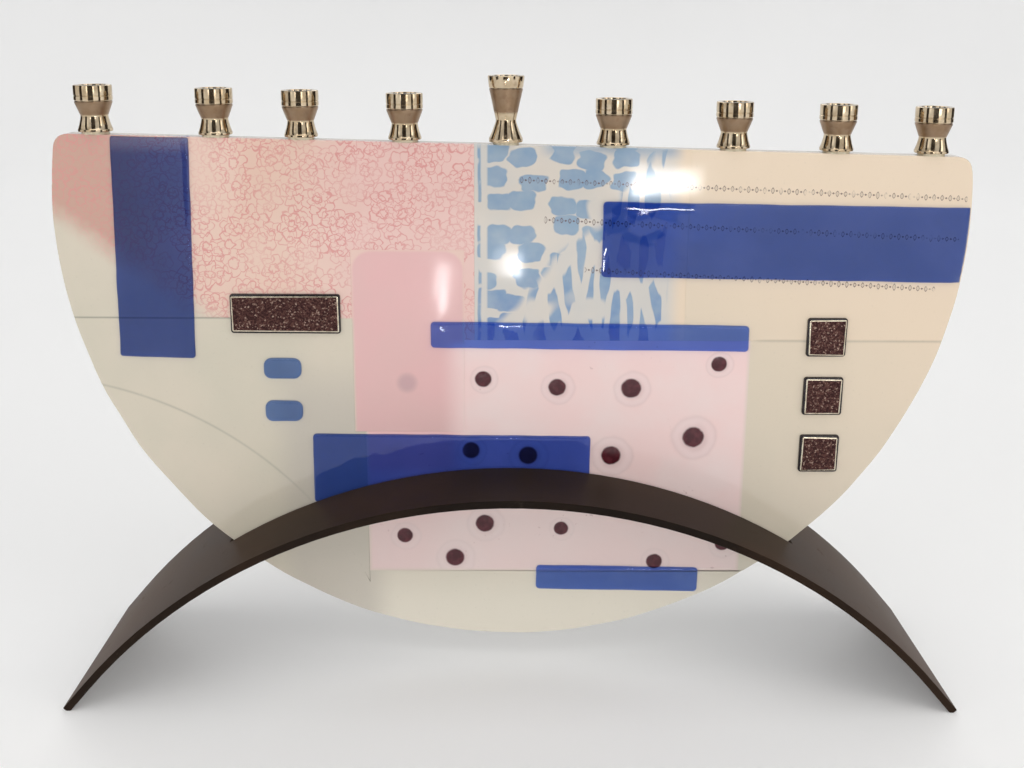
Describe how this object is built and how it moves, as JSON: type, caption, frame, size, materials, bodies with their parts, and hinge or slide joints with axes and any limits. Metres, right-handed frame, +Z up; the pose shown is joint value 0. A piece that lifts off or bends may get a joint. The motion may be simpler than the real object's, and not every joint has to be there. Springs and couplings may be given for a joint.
{
  "type": "menorah",
  "caption": "Fused glass half-disc menorah with a row of turned metal candle cups and a raised helper cup, standing in the slot of an arched metal bar.",
  "frame": {"origin": "on the table, midway between the feet and midway across the bar, under the crown of the arch", "axes": "+X along the row of cups to the right of someone facing the decorated side, -Y out of the decorated face, +Z up"},
  "size_m": [0.353, 0.0762, 0.2446],
  "materials": {
    "black_metal": "satin black-brown coating on steel bar",
    "opal_glass": "glossy opal cream glass, fire polished",
    "floral_glass": "glossy opal glass with fine pink line pattern",
    "pink_glass": "glossy pink opal glass",
    "dotted_glass": "glossy pale lilac glass with haloed dark dots",
    "leaf_glass": "glossy opal glass with steel-blue leaf shapes",
    "blue_glass": "glossy clear cobalt glass",
    "dot_glass": "dark maroon glass",
    "metallic_glass": "metal-coated glass on a black base",
    "cup_metal": "polished pale brass",
    "clear_glue": "clear adhesive"
  },
  "bodies": {
    "stand": {"stand_arch": "black_metal"},
    "panel": {"back_sheet": "opal_glass", "floral_panel": "floral_glass", "pink_panel": "pink_glass", "dotted_panel": "dotted_glass", "leaf_panel": "leaf_glass", "cream_panel_right": "opal_glass", "cream_panel_side": "opal_glass", "cream_panel_left": "opal_glass", "cream_panel_lower": "opal_glass", "blue_strip_left": "blue_glass", "blue_strip_right": "blue_glass", "blue_strip_shelf": "blue_glass", "blue_strip_middle": "blue_glass", "blue_strip_bottom": "blue_glass", "blue_chip_upper": "blue_glass", "blue_chip_lower": "blue_glass", "dark_dots": "dot_glass", "metal_bar": "metallic_glass", "helper_cup": "cup_metal", "glue_beads": "clear_glue", "metal_tile_upper": "metallic_glass", "metal_tile_middle": "metallic_glass", "metal_tile_lower": "metallic_glass", "candle_cup_1": "cup_metal", "candle_cup_2": "cup_metal", "candle_cup_3": "cup_metal", "candle_cup_4": "cup_metal", "candle_cup_5": "cup_metal", "candle_cup_6": "cup_metal", "candle_cup_7": "cup_metal", "candle_cup_8": "cup_metal"}
  },
  "joints": [
    {"name": "panel_lift", "type": "slide", "parent": "stand", "child": "panel", "axis": [0, 0, 1], "range_m": [0, 0.09]}
  ]
}
